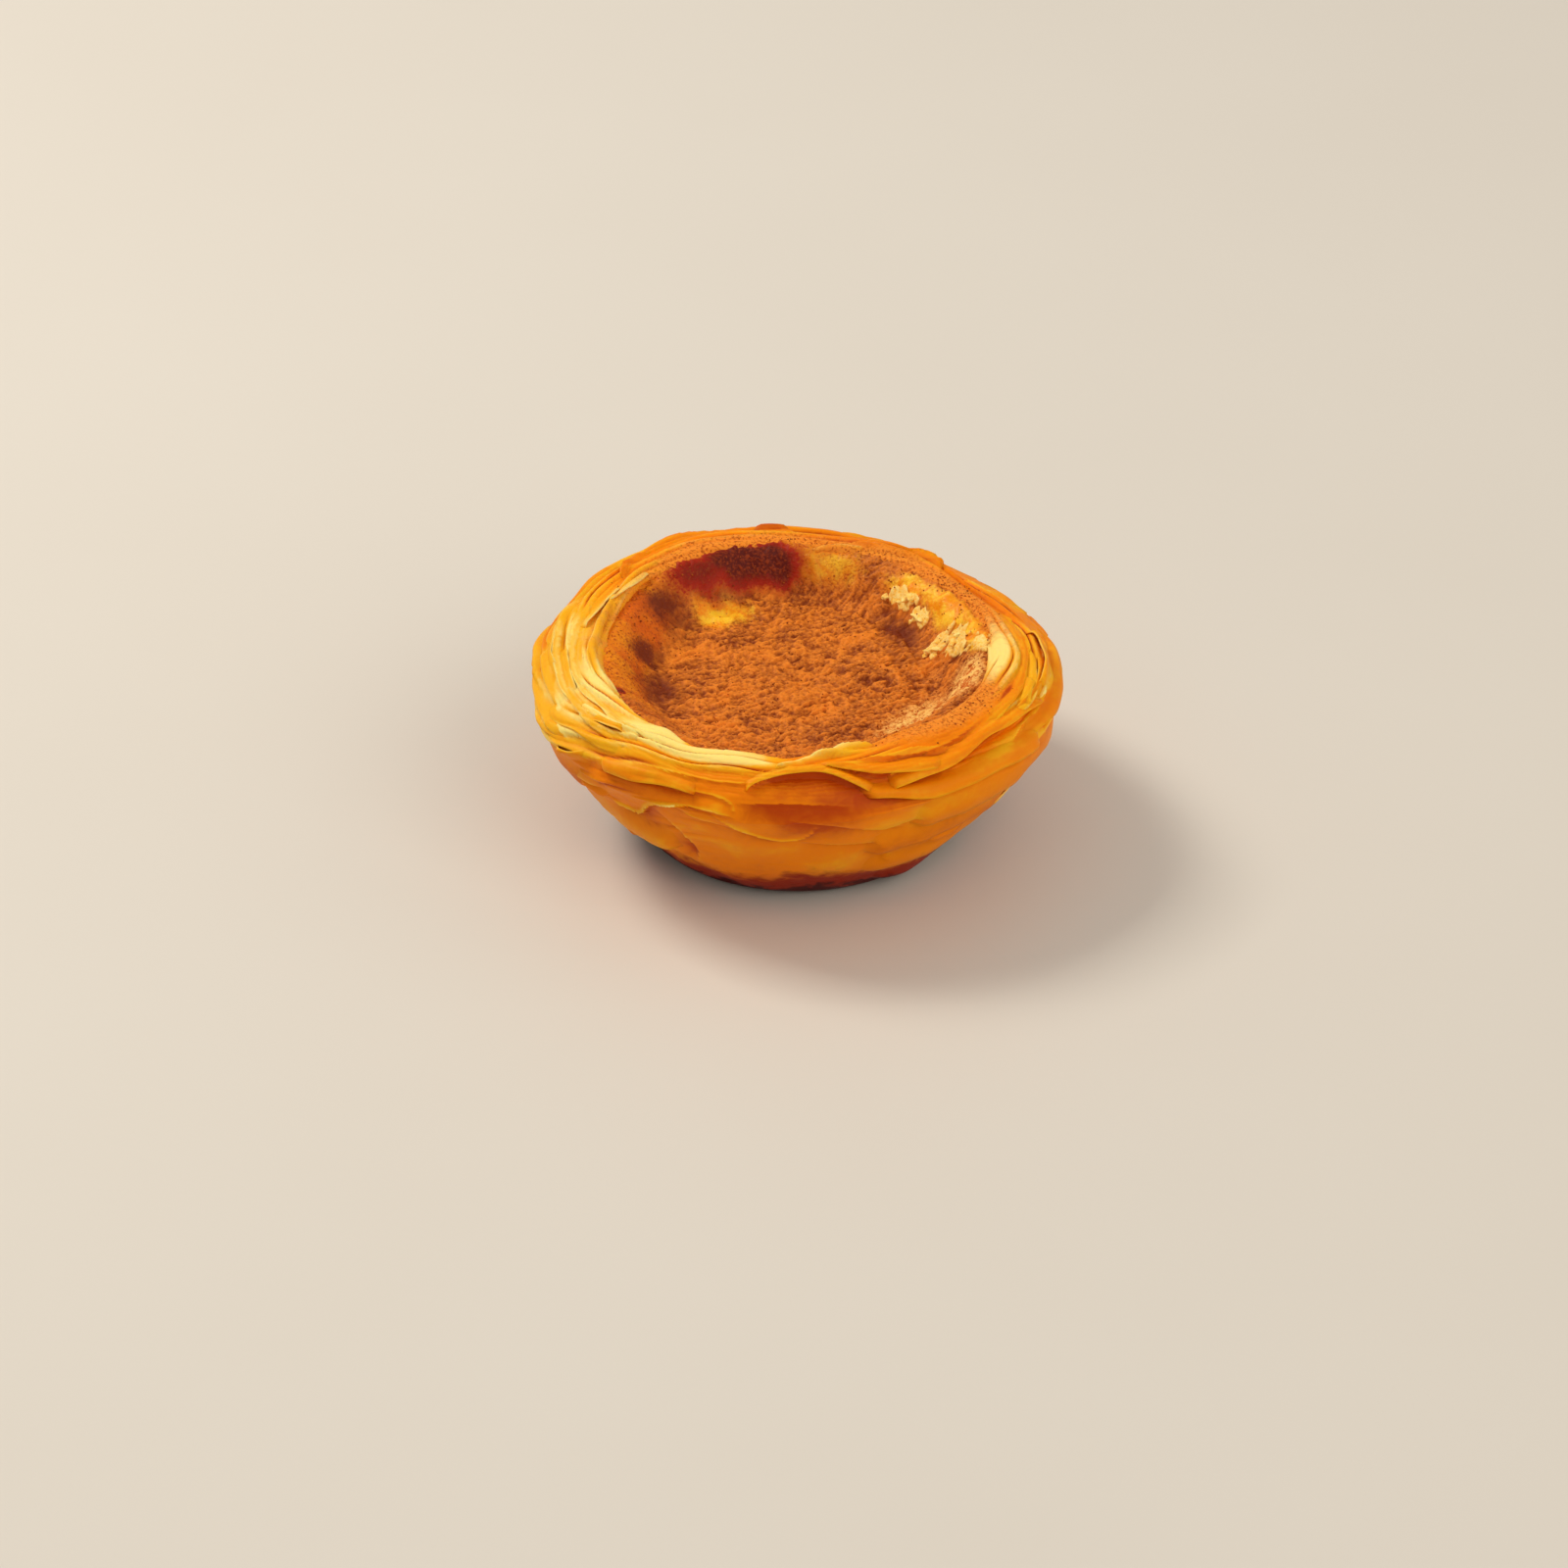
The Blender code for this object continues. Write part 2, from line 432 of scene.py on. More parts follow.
def through(guides, share):
    """A point on the smooth line through a few guide points, at that share of the way."""
    place = min(share, 0.99999) * (len(guides) - 1)
    start = int(place)
    step = place - start
    before = guides[max(start - 1, 0)]
    after = guides[min(start + 2, len(guides) - 1)]
    return [
        0.5 * (
            2 * b + (c - a) * step + (2 * a - 5 * b + 4 * c - d) * step ** 2
            + (3 * b - a - 3 * c + d) * step ** 3
        )
        for a, b, c, d in zip(before, guides[start], guides[start + 1], after)
    ]


# The free edges of the sheets that lie flat on the cup: guides of (turn, mm down) from left to
# right, how deep the dough falls away below the edge and above it, in mm, and its painted highlight.
ledges = [
    ([(216, 16.6), (223, 18.7), (229, 18.6), (233, 15.6), (238, 12.5), (245, 11.0)], 1.1, 0.7, 0.6),
    ([(236, 13.4), (244, 10.9), (250, 10.6), (257, 10.9)], 0.6, 0.0, 0.4),
    ([(222, 9.4), (230, 8.9), (238, 8.0), (247, 8.0)], 0.8, 0.0, 0.5),
    ([(240, 8.2), (247, 7.9), (252, 8.0), (255.5, 8.9), (257, 11.2)], 0.5, 0.0, 0.3),
    ([(222, 8.2), (234, 6.6), (246, 5.5), (256, 5.3), (262, 4.6)], 0.5, 0.0, 0.2),
    ([(258, 6.2), (262, 4.1), (265, 3.2), (270, 2.9), (277, 3.4), (283, 5.7), (289, 8.0)],
     1.2, 0.0, 0.4),
    ([(275, 2.0), (284, 3.4), (288, 4.9), (298, 6.4), (308, 6.8)], 0.8, 0.0, 0.4),
    ([(290, 7.7), (299, 7.2), (308, 6.5), (316, 5.8), (328, 5.6), (340, 6.8), (354, 8.4)],
     1.0, 0.0, 0.3),
    ([(283, 7.5), (294, 8.9), (304, 10.4), (314, 10.0), (326, 10.4)], 0.9, 0.0, 0.3),
    ([(288, 16.8), (302, 16.1), (312, 15.6), (328, 15.0)], 0.9, 0.0, 0.2),
    ([(268, 10.9), (278, 12.6), (286, 15.2), (298, 18.6)], 0.8, 0.0, 0.1),
    ([(256, 8.7), (264, 8.3), (271, 8.4), (282, 9.4)], 0.6, 0.0, 0.15),
    ([(251, 11.0), (256, 13.8), (261, 15.6), (267, 17.3), (272, 16.6), (275, 13.0)], 0.6, 0.3, 0.45),
    ([(271, 18.4), (282, 19.8), (295, 21.2)], 0.7, 0.0, 0.15),
    ([(292, 21.4), (295, 24.4), (296, 28.6)], 0.7, 0.0, 0.1),
    ([(235, 15.4), (241, 19.6), (243, 24.0), (240, 29.4)], 0.8, 0.0, 0.25),
    ([(239, 12.0), (247, 13.2), (256, 14.4)], 0.6, 0.0, 0.15),
    ([(212, 24.4), (222, 25.2), (232, 25.7), (239, 29.2)], 1.1, 0.0, 0.2),
    ([(186, 4.6), (198, 6.6), (207, 8.3), (216, 9.4), (227, 7.8)], 0.7, 0.0, 0.2),
    ([(308, 6.0), (322, 4.9), (333, 4.6), (346, 6.4)], 0.6, 0.0, 0.2),
    ([(282, 1.7), (294, 3.2), (303, 4.1), (313, 3.8), (324, 2.8)], 0.5, 0.0, 0.2),
]

# The same all the way round the side and the back, as they happened to fall.
draws = random.Random(7)
chance_ledges = 34
for _ in range(chance_ledges):
    left = draws.uniform(312, 556)
    reach = draws.uniform(16, 46)
    down = draws.uniform(6.0, 29.0)
    slope = draws.uniform(-2.4, 2.4)
    bulge = draws.uniform(-1.6, 1.6)
    ledges.append((
        [
            (left, down - slope),
            (left + 0.35 * reach, down + bulge),
            (left + 0.7 * reach, down + bulge + draws.uniform(-0.6, 0.6)),
            (left + reach, down + slope),
        ],
        draws.uniform(0.5, 1.1), 0.0, draws.uniform(0.1, 0.4),
    ))


# In mm: a degree round the side, how far a sheet's edge is felt sideways and down, how quickly the
# dough falls away and climbs back, how wide the painted highlight is and how far it and the painted
# shade reach.
degree_length = 0.56
felt_across, felt_down = 5.0, 8.0
fall_width, climb_reach = 0.55, 3.0
highlight_width, highlight_reach, painted_shade_reach = 0.4, 2.2, 1.8
edge_steps = 24


def fallen(turns, downs):
    """How far the dough falls in beside the sheets' edges, in metres, and their painted highlight and
    shade.
    """
    falls = np.zeros(len(turns))
    painted_edge_lights = np.zeros(len(turns))
    half_round = 180 * degree_length
    for guides, below, above, pale in ledges:
        line = np.array([through(guides, share) for share in np.linspace(0, 1, edge_steps + 1)])
        line *= (degree_length, 1.0)
        middle = line[:, 0].mean()
        across = (turns * degree_length - middle + half_round) % (2 * half_round) - half_round + middle
        deep = downs / mm
        inside = (across > line[:, 0].min() - felt_across) & (across < line[:, 0].max() + felt_across)
        inside &= (deep > line[:, 1].min() - felt_down) & (deep < line[:, 1].max() + felt_down)
        chosen = np.nonzero(inside)[0]
        if len(chosen) == 0:
            continue
        across, deep = across[chosen], deep[chosen]
        apart = np.full(len(chosen), math.inf)
        side = np.zeros(len(chosen))
        along = np.zeros(len(chosen))
        for index, (start, end) in enumerate(zip(line[:-1], line[1:])):
            step = end - start
            share = ((across - start[0]) * step[0] + (deep - start[1]) * step[1]) / (step @ step)
            share = np.clip(share, 0, 1)
            off_across = across - start[0] - share * step[0]
            off_deep = deep - start[1] - share * step[1]
            distance = np.hypot(off_across, off_deep)
            closer = distance < apart
            apart[closer] = distance[closer]
            side[closer] = (step[0] * off_deep - step[1] * off_across)[closer]
            along[closer] = ((index + share) / edge_steps)[closer]
        # An edge fades out towards both its ends. Its painted highlight shows only above it, and its
        # painted shade falls beside it, mostly below.
        held = np.clip(5 * along * (1 - along), 0, 1)
        depth = np.where(side > 0, below, above) * np.exp(-apart / climb_reach)
        falls[chosen] -= depth * held * np.clip(apart / fall_width, 0, 1) * mm
        edge = 0.7 * np.exp(-((apart / highlight_width) ** 2)) + 0.3 * np.exp(-apart / highlight_reach)
        painted_shade = np.where(side > 0, min(1.3, below), 0.5 * above) * np.exp(-apart / painted_shade_reach)
        painted_edge_lights[chosen] += held * (pale * np.where(side > 0, 0.0, edge) - 0.33 * painted_shade)
    return falls, painted_edge_lights


def case_skin(turns, downs):
    """For each place: how far the skin stands out and falls in, its tone, painted crack shade and dust.
    """
    skin = []
    for turn, down, fall, pale in zip(turns, downs, *fallen(turns, downs)):
        turn %= 360
        proud, crack_shade, painted_light = lap_relief(turn, down)
        dusty = dusting(turn, down)
        angle = math.radians(turn)
        dent = noise.noise(Vector((math.cos(angle) * 3.2, math.sin(angle) * 3.2, down / (9 * mm))))
        visible = smooth(-9 * mm, -5 * mm, down) * (1 - smooth(corner_down - 2 * mm, corner_down, down))
        uneven = visible * (0.5 * dent + 0.7 * spot(turn, down, *knob)) * mm
        out = proud * (1 - 0.75 * dusty) + uneven
        # The tone takes the painted light and shade of the laps and of the sheets' edges.
        tone = tone_with_painted_light(turn, down) + painted_light + pale
        skin.append((out, visible * fall, tone, crack_shade * (1 - 0.7 * dusty), dusty))
    return skin


def skin_layers(shape):
    """The values that the pastry's finish reads, for each point of a new shape."""
    return [shape.verts.layers.float.new(name) for name in ("tone", "crack_shade", "dust", "down")]


def write_down(vertex, layers, values):
    """Gives a point its values, one for each layer."""
    for layer, value in zip(layers, values):
        vertex[layer] = value


# The rows of the grid lie closest where the laps and the sheets' edges show.
shape = bmesh.new()
rows = np.concatenate([
    np.linspace(outline_down[0] + 3 * mm, -8 * mm, 8)[:-1],
    np.linspace(-8 * mm, -3 * mm, 16)[:-1],
    np.linspace(-3 * mm, widest_down + 2 * mm, 104)[:-1],
    np.linspace(widest_down + 2 * mm, corner_down, 100)[:-1],
    np.linspace(corner_down, outline_down[-1] - 3 * mm, 7),
])
columns = 420
bmesh.ops.create_grid(shape, x_segments=columns, y_segments=len(rows) - 1, size=1.0)
layers = skin_layers(shape)
turns = np.array([(vertex.co.x + 1) * 180 for vertex in shape.verts])
downs = np.array([rows[round((vertex.co.y + 1) / 2 * (len(rows) - 1))] for vertex in shape.verts])
for vertex, turn, down, skin in zip(shape.verts, turns, downs, case_skin(turns, downs)):
    out, fall, tone, crack_shade, dusty = skin
    vertex.co = dough(turn, down, out + fall)
    write_down(vertex, layers, (tone, crack_shade, dusty, down))
bmesh.ops.remove_doubles(shape, verts=shape.verts, dist=0.01 * mm)
bmesh.ops.holes_fill(shape, edges=shape.edges, sides=0)
bmesh.ops.recalc_face_normals(shape, faces=shape.faces)


def written(place, name):
    """The value of that name that was written down for each point."""
    return place.node("ShaderNodeAttribute", {"attribute_name": name}, output=2)


def pastry_finish():
    """Baked butter dough, amber; painted cream highlight on lap edges, painted deep orange shade
    between laps.
    """
    material, shader, place = new_finish(
        "baked_pastry", 0.42, subsurface=0.2, depth=1.3 * mm, gloss=0.1
    )
    tone, crack_shade, dust, down = (written(place, value) for value in ("tone", "crack_shade", "dust", "down"))
    cloud = grain(place, 8 * mm, 3.0, 0.6)
    streak = grain(place, 2.2 * mm, 3.0, 1.0)
    lamina = 0.75 * mm
    laminae = (down * (math.tau / lamina) + streak * 9.0 + cloud * 6.0).maths("SINE")
    laminae = laminae * down.between(0.0, 2 * mm) * (1 - down.between(4 * mm, 9 * mm))
    tone = tone + (cloud - 0.5) * 0.3 + (streak - 0.5) * 0.2 + laminae * 0.03
    # The tone carries painted highlights and shade as well as the dough's own colour.
    colour = tone.between(0.0, 0.42).tint(light_colour(188, 68, 0), light_colour(244, 134, 0))
    colour = tone.between(0.40, 0.68).tint(colour, light_colour(252, 176, 22))
    colour = tone.between(0.66, 0.98).tint(colour, light_colour(255, 226, 130))
    # Painted shade: deep orange in the cracks between the laps.
    colour = crack_shade.between(0.15, 0.85).tint(colour, light_colour(166, 54, 0))
    dots = grain(place, 0.42 * mm, 3.0, 0.4).between(0.45, 0.72)
    powder = dots.tint(light_colour(240, 142, 44), light_colour(176, 82, 16))
    colour = (dust + (streak - 0.5) * 0.7).between(0.15, 0.8).tint(colour, powder)
    toasted = (down + (cloud - 0.5) * (10 * mm) + (streak - 0.5) * (5 * mm)).between(
        corner_down - 9.2 * mm, corner_down - 5.0 * mm
    )
    colour = toasted.tint(colour, light_colour(150, 36, 0))
    charred = (down + (cloud - 0.5) * (6 * mm) + (streak - 0.5) * (7 * mm)).between(
        corner_down - 3.4 * mm, corner_down - 1.4 * mm
    )
    colour = charred.tint(colour, light_colour(76, 4, 0))
    connect(colour, shader, "Base Color")
    connect(0.42 + streak * 0.16 + dust * 0.2, shader, "Roughness")
    relief(grain(place, 1.0 * mm, 4.0, 0.5) + dust * dots + laminae * 0.3, shader, 0.12 * mm, 0.5)
    return material


pastry = pastry_finish()
case = make_piece(shape, "laminated_case", pastry)
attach(case, "root")
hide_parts("pastry_case")


# ---------------------------------------------------------------- leaves on the side and the rim
# Where the laps were pulled over the tin's wall they part into thin leaves. Each one is held
# along one edge and stands off at the other, as a petal does, and the next course starts under it.

draws = random.Random(11)
leaf_rows = 12
leaf_tuck = 0.16 * mm
leaf_thickness = 0.2 * mm


def lay_leaf(shape, layers, held, free, lift, tone, ends=0.12, wave=0.3):
    """One leaf, whose held and free edges run through guides of (turn, mm down).

    It lifts off by that many mm at its free edge, less towards the ends, and ripples by wave mm.
    """
    length = max(abs(free[-1][0] - free[0][0]), 1.5 * abs(free[-1][1] - free[0][1]))
    columns = max(12, int(length * 0.9))
    made = bmesh.ops.create_grid(shape, x_segments=columns, y_segments=leaf_rows, size=1.0)["verts"]
    seed = draws.uniform(0, 50)
    # Painted highlight along the free edge, stronger where the free edge is the upper one.
    painted_light = 0.28 if free[1][1] < held[1][1] else 0.14
    shares = [((vertex.co.x + 1) / 2, (vertex.co.y + 1) / 2) for vertex in made]
    places = []
    for share, edge in shares:
        held_turn, held_down = through(held, share)
        free_turn, free_down = through(free, share)
        turn = held_turn + (free_turn - held_turn) * edge
        ripple = noise.noise(Vector((turn / 9, seed, 0))) * wave
        places.append((turn, (held_down + (free_down + ripple - held_down) * edge) * mm))
    skins = case_skin(*np.array(places).T)
    for vertex, (share, edge), (turn, down), skin in zip(made, shares, places, skins):
        out, fall, case_tone, crack_shade, dusty = skin
        loose = smooth(0.25, 0.85, edge) * smooth(0, ends, share) * smooth(0, ends, 1 - share)
        curl = 1 + 0.3 * noise.noise(Vector((turn / 7, seed, 3)))
        proud = (leaf_tuck + lift * curl * mm) * loose - leaf_tuck
        vertex.co = dough(turn, down, out + fall * (1 - loose) + proud)
        leaf_tone = case_tone + (tone - case_tone + painted_light * smooth(0.88, 1.0, edge)) * loose
        write_down(vertex, layers, (leaf_tone, crack_shade * (1 - loose), dusty * (1 - 0.3 * loose), down))


shape = bmesh.new()
layers = skin_layers(shape)

# The broad leaves round the side and the back, course under course.
low = corner_down / mm
leaf_spacing = 46
for course, free_down in enumerate((low - 2.0, low - 8.0, low - 14.0, low - 19.5)):
    for index in range(6):
        left = 296 + leaf_spacing * index + draws.uniform(-9, 9)
        right = left + leaf_spacing * draws.uniform(1.1, 1.5)
        middle = (left + right) / 2 + draws.uniform(-6, 6)
        start, centre, end = (free_down + draws.uniform(-2.2, 2.0) for _ in range(3))
        deep = draws.uniform(6.0, 8.5)
        lay_leaf(
            shape,
            layers,
            [(left, start - deep), (middle, centre - deep), (right, end - deep)],
            [(left, start), (middle, centre), (right, end)],
            lift=draws.uniform(0.4, 0.9) if course else draws.uniform(0.2, 0.4),
            tone=tone_with_painted_light(middle % 360, (centre - 2) * mm) + draws.uniform(-0.16, 0.1),
        )

# Leaves that stand off one by one, most of them at the front: held edge, free edge, lift, tone.
arch = ([(258, 3.6), (263, 1.8), (271, 1.0), (279, 1.4), (289, 5.6)],
        [(258.5, 6.5), (262, 4.7), (270, 3.5), (278, 4.3), (288, 8.4)], 0.4, 0.5)
tongue = ([(222, 6.4), (230, 5.4), (238, 4.8), (247, 5.4)],
          [(223, 9.9), (231, 9.3), (238, 8.5), (247, 8.4)], 0.35, 0.5)
point = ([(264.5, 2.8), (272, 2.0), (281, 1.6), (293, 1.4)],
         [(265, 2.2), (272, 0.6), (281, -0.5), (291, -1.2)], 0.6, 0.75)
strand = ([(274, 0.4), (286, 1.6), (296, 3.2), (309, 4.6)],
          [(276, 2.6), (286, 4.8), (294, 6.3), (305, 7.3)], 0.45, 0.45)
sheet = ([(292, 4.6), (305, 4.0), (320, 2.6), (340, 3.4)],
         [(291, 8.1), (305, 7.4), (322, 6.1), (342, 7.4)], 0.4, 0.45)
flap = ([(282, 4.8), (300, 6.6), (317, 6.6), (336, 7.0)],
        [(286, 8.5), (300, 10.4), (317, 10.6), (334, 11.2)], 0.4, 0.42)
back_flake = ([(70, -0.2), (78, -1.2), (86, -2.6)], [(71, 0.8), (78, 0.6), (86, -1.4)], 0.5, 0.8)
right_tip = ([(346, 7.5), (356, 7.8), (366, 8.4)], [(344, 5.6), (356, 5.4), (367, 4.6)], 0.9, 0.5)
# torn_high, torn_low and left_flake, on the left, have pale tones: painted highlight towards the
# window.
torn_high = ([(140, 0.5), (148, 1.0), (157, 1.8)], [(139, -1.0), (148, -0.8), (158, 0.2)], 0.6, 0.8)
torn_low = ([(150, 2.0), (160, 2.4), (171, 2.8)], [(150, 0.2), (160, 0.4), (172, 1.4)], 0.6, 0.75)
left_flake = ([(206, 5.2), (216, 4.8), (229, 4.4)], [(207, 3.6), (217, 2.8), (229, 2.4)], 0.5, 0.9)
single_leaves = (
    arch, tongue, point, strand, sheet, flap,
    back_flake, right_tip, torn_high, torn_low, left_flake,
)
for held, free, lift, tone in single_leaves:
    lay_leaf(shape, layers, held, free, lift, tone, ends=0.08)

# Long strands that run round the rim: first and last turn, mm down at each, width, lift and tone.
strands = (
    # The first four strands, on the left, have paler tones: painted highlight towards the window.
    (140, 214, 10.5, 9.8, 3.4, 0.56, 0.62),
    (150, 226, 6.4, 5.6, 2.6, 0.49, 0.72),
    (160, 236, 3.8, 2.6, 2.2, 0.42, 0.80),
    (128, 200, 1.6, 0.2, 2.0, 0.35, 0.66),
    (322, 382, 4.6, 3.2, 2.6, 0.35, 0.45),
    (330, 395, 9.6, 8.2, 3.4, 0.49, 0.45),
    (20, 88, 9.0, 7.6, 3.4, 0.42, 0.42),
    (60, 132, 6.6, 5.6, 3.0, 0.35, 0.46),
    (92, 165, 10.0, 9.0, 3.4, 0.49, 0.5),
)
for left, right, start, end, deep, lift, tone in strands:
    middle = (left + right) / 2
    centre = (start + end) / 2 + draws.uniform(-0.8, 0.8)
    lay_leaf(
        shape,
        layers,
        [(left, start - deep), (middle, centre - deep), (right, end - deep)],
        [(left, start), (middle, centre), (right, end)],
        lift,
        tone,
        ends=0.22,
        wave=0.6,
    )

# Small loose flakes anywhere but on the best side.
loose_flakes = 52
for _ in range(loose_flakes):
    left = draws.uniform(300, 575)
    right = left + draws.uniform(12, 36)
    middle = (left + right) / 2
    down = draws.uniform(2.0, 26.0)
    slope = draws.uniform(-1.4, 1.4)
    deep = draws.uniform(1.4, 3.6) * draws.choice((-1, 1, 1))
    bulge = draws.uniform(-0.5, 0.7)
    lay_leaf(
        shape,
        layers,
        [(left, down - slope - deep), (middle, down - deep), (right, down + slope - deep)],
        [(left + 2, down - slope), (middle, down + bulge), (right - 2, down + slope)],
        lift=draws.uniform(0.3, 0.7),
        tone=min(0.62, tone_with_painted_light(middle % 360, down * mm) + draws.uniform(-0.14, 0.14)),
        ends=0.25,
        wave=0.5,
    )

bmesh.ops.recalc_face_normals(shape, faces=shape.faces)
leaves = make_piece(shape, "pastry_leaves", pastry)
thickness = leaves.modifiers.new("Thickness", "SOLIDIFY")
thickness.thickness = leaf_thickness
thickness.offset = 0.0
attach(leaves, "root")


# ---------------------------------------------------------------- custard
# Egg custard baked in the case. It rose and stuck to the wall, scorched where it blistered, and
# sank as it cooled, so its skin climbs the wall all round. Cinnamon was shaken over it.

custard_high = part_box("custard_filling")[1]
floor_height = custard_high.z - 2.2 * mm
bowl_rise = 0.7 * mm
skin_radius = wall_radius + 0.9 * mm
skin_height = rim_height - 1.3 * mm
skin_tuck = 0.8 * mm
edge_drop = 2.5 * mm
wrinkle_rise = 0.62 * mm
skirt_height = 14 * mm
skirt_share = 0.86
custard_cells = 300


def skin_edge(turn):
    """(radius, height) of the skin's edge: at the back it rose right up to the rim's crest."""
    risen = near(turn, 85, 70)
    return skin_radius + 1.5 * mm * risen, skin_height + 1.35 * mm * risen


# Spots: turn, mm from the middle, half length round, half width, strength.
scorches = [
    (121, 26.2, 6.4, 2.5, 0.66),
    (104, 26.6, 7.2, 2.4, 1.15),
    (203, 26.4, 1.3, 0.5, 1.0),
]
stains = [
    (141, 24.4, 4.4, 2.6, 1.0),
    (166, 22.4, 3.0, 2.4, 1.15),
    (184, 19.6, 6.0, 4.4, 0.9),
    (116, 23.9, 7.0, 1.2, 0.35),
    (46, 20.8, 4.4, 2.2, 1.1),
    (30, 18.2, 5.0, 3.0, 0.5),
    (95, 19.0, 5.0, 2.0, 0.35),
]
yolks = [
    (119, 21.3, 4.6, 2.7, 1.1),
    (80, 26.6, 6.4, 2.2, 0.62),
    (48, 25.9, 5.5, 1.2, 1.0),
    (31, 25.6, 6.0, 1.9, 1.4),
    (10, 26.0, 5.5, 1.6, 1.1),
]
creams = [
    (50, 24.2, 2.8, 0.9, 1.15),
    (40, 23.0, 1.6, 1.0, 1.1),
    (22, 21.8, 1.6, 2.2, 1.15),
    (13, 23.8, 3.4, 1.5, 1.2),
    (2, 26.2, 2.4, 1.1, 1.1),
]
lit_patches = [
    (326, 19.5, 8.0, 4.0, 1.0),
    (345, 24.5, 6.0, 2.8, 1.0),
]


def blots(turn, radius, spots, sharp):
    """The strongest of the spots there, each a ragged oval that lies along the wall."""
    angle = math.radians(turn)
    ground = Vector((math.cos(angle), math.sin(angle), 0.0)) * radius / (3.2 * mm)
    turn += 3.0 * noise.noise(ground) + 2.0 * noise.noise(ground * 2.7)
    away_here = radius / mm + 0.8 * noise.noise(ground + Vector((9, 0, 0)))
    most = 0.0
    for centre, away, length, width, strength in spots:
        round_it = math.radians((turn - centre + 180) % 360 - 180) * away
        apart = math.hypot(round_it / length, (away_here - away) / width)
        most = max(most, strength * math.exp(-(apart ** sharp)))
    return most


def crust(x, y):
    """Height of the wrinkled, grainy skin, about -1 to 1: short lumps that lie along one slant."""
    slant = 0.35
    along = (x * math.cos(slant) + y * math.sin(slant)) / mm
    across = (-x * math.sin(slant) + y * math.cos(slant)) / mm
    bend = 1.2 * noise.noise(Vector((along / 5, across / 5, 4)))
    lumps = noise.noise(Vector((along / 1.7, (across + bend) / 0.95, 1)))
    fine = noise.noise(Vector((along / 0.7, (across + bend) / 0.48, 9)))
    line = noise.noise(Vector((along / 3.2, (across + bend) / 1.3, 17)))
    here = smooth(-0.2, 0.4, noise.noise(Vector((along / 4, across / 4, 23))))
    furrow = max(0.0, 1 - 5 * abs(line)) ** 2 * here
    return 0.55 * lumps + 0.65 * fine - 0.8 * furrow


def custard_at(turn, radius):
    """The skin's height there, and its marks, in the order of mark_names."""
    angle = math.radians(turn)
    x, y = radius * math.cos(angle), radius * math.sin(angle)
    edge_radius, edge_height = skin_edge(turn)
    share = radius / (edge_radius + skin_tuck)
    grainy = crust(x, y)
    foot = (18.8 + 4.0 * near(turn, 92, 48)) * mm
    climb = smooth(foot, edge_radius - 0.9 * mm, radius)
    yolk = min(1.0, blots(turn, radius, yolks, 2.0))
    bare = max(near(turn, 168, 44), 0.6 * near(turn, 100, 45), 0.5 * near(turn, 215, 20))
    wall = smooth(foot, foot + 4 * mm, radius) * bare
    rough = (1 - 0.65 * wall) * (1 - 0.8 * yolk)
    height = floor_height + bowl_rise * share ** 3 + (edge_height - floor_height - bowl_rise) * climb
    height += 0.6 * mm * noise.noise(Vector((x, y, 0)) / (7 * mm) + Vector((0, 0, 2))) * (1 - climb)
    folds = noise.noise(Vector((x, y, 0)) / (2.6 * mm) + Vector((0, 0, 31)))
    torn = noise.noise(Vector((x, y, 0)) / (0.8 * mm) + Vector((3, 0, 0)))
    cream = smooth(0.40, 0.58, blots(turn, radius, creams, 2.0) + 0.5 * torn)
    height += wrinkle_rise * rough * grainy + yolk * (0.3 + folds) * mm
    height += (0.55 + 0.3 * torn) * cream * mm
    height -= edge_drop * smooth(edge_radius, edge_radius + skin_tuck, radius)
    marks = (
        blots(turn, radius, scorches, 2.2),
        blots(turn, radius, stains, 1.8),
        yolk,
        blots(turn, radius, lit_patches, 2.0),
        cream,
        0.5 + 0.5 * grainy * rough,
        wall,
    )
    return height, marks


# A square grid drawn out to a disc, so that its mesh is even all over, with a skirt below its edge.
shape = bmesh.new()
bmesh.ops.create_grid(shape, x_segments=custard_cells, y_segments=custard_cells, size=1.0)
mark_names = ("scorch", "stain", "yolk", "lit_dust", "cream", "crust", "wall")
mark_layers = [shape.verts.layers.float.new(name) for name in mark_names]
for vertex in shape.verts:
    x, y = vertex.co.x, vertex.co.y
    round_x = x * math.sqrt(1 - y * y / 2)
    round_y = y * math.sqrt(1 - x * x / 2)
    turn = math.degrees(math.atan2(round_y, round_x)) % 360
    radius = math.hypot(round_x, round_y) * (skin_edge(turn)[0] + skin_tuck)
    height, marks = custard_at(turn, radius)
    ragged = 0.5 * mm * smooth(20 * mm, skin_radius, radius)
    ragged *= noise.noise(Vector((round_x * 6, round_y * 6, 8)))
    vertex.co = pressed(turn, radius + ragged, height)
    write_down(vertex, mark_layers, marks)
border = [edge for edge in shape.edges if edge.is_boundary]
skirt = bmesh.ops.extrude_edge_only(shape, edges=border)["geom"]
for vertex in [part for part in skirt if isinstance(part, bmesh.types.BMVert)]:
    vertex.co = Vector((vertex.co.x * skirt_share, vertex.co.y * skirt_share, skirt_height))
bmesh.ops.holes_fill(shape, edges=shape.edges, sides=0)
bmesh.ops.recalc_face_normals(shape, faces=shape.faces)

custard_material, custard_shader, custard_place = new_finish(
    "browned_custard", 0.55, subsurface=0.08, depth=0.8 * mm, gloss=0.2
)
scorch, stain, yolk, lit_dust, cream, height, wall = (
    written(custard_place, name) for name in mark_names
)
speck = grain(custard_place, 0.4 * mm, 3.0, 0.3)
patch = grain(custard_place, 6 * mm, 3.0, 0.8)
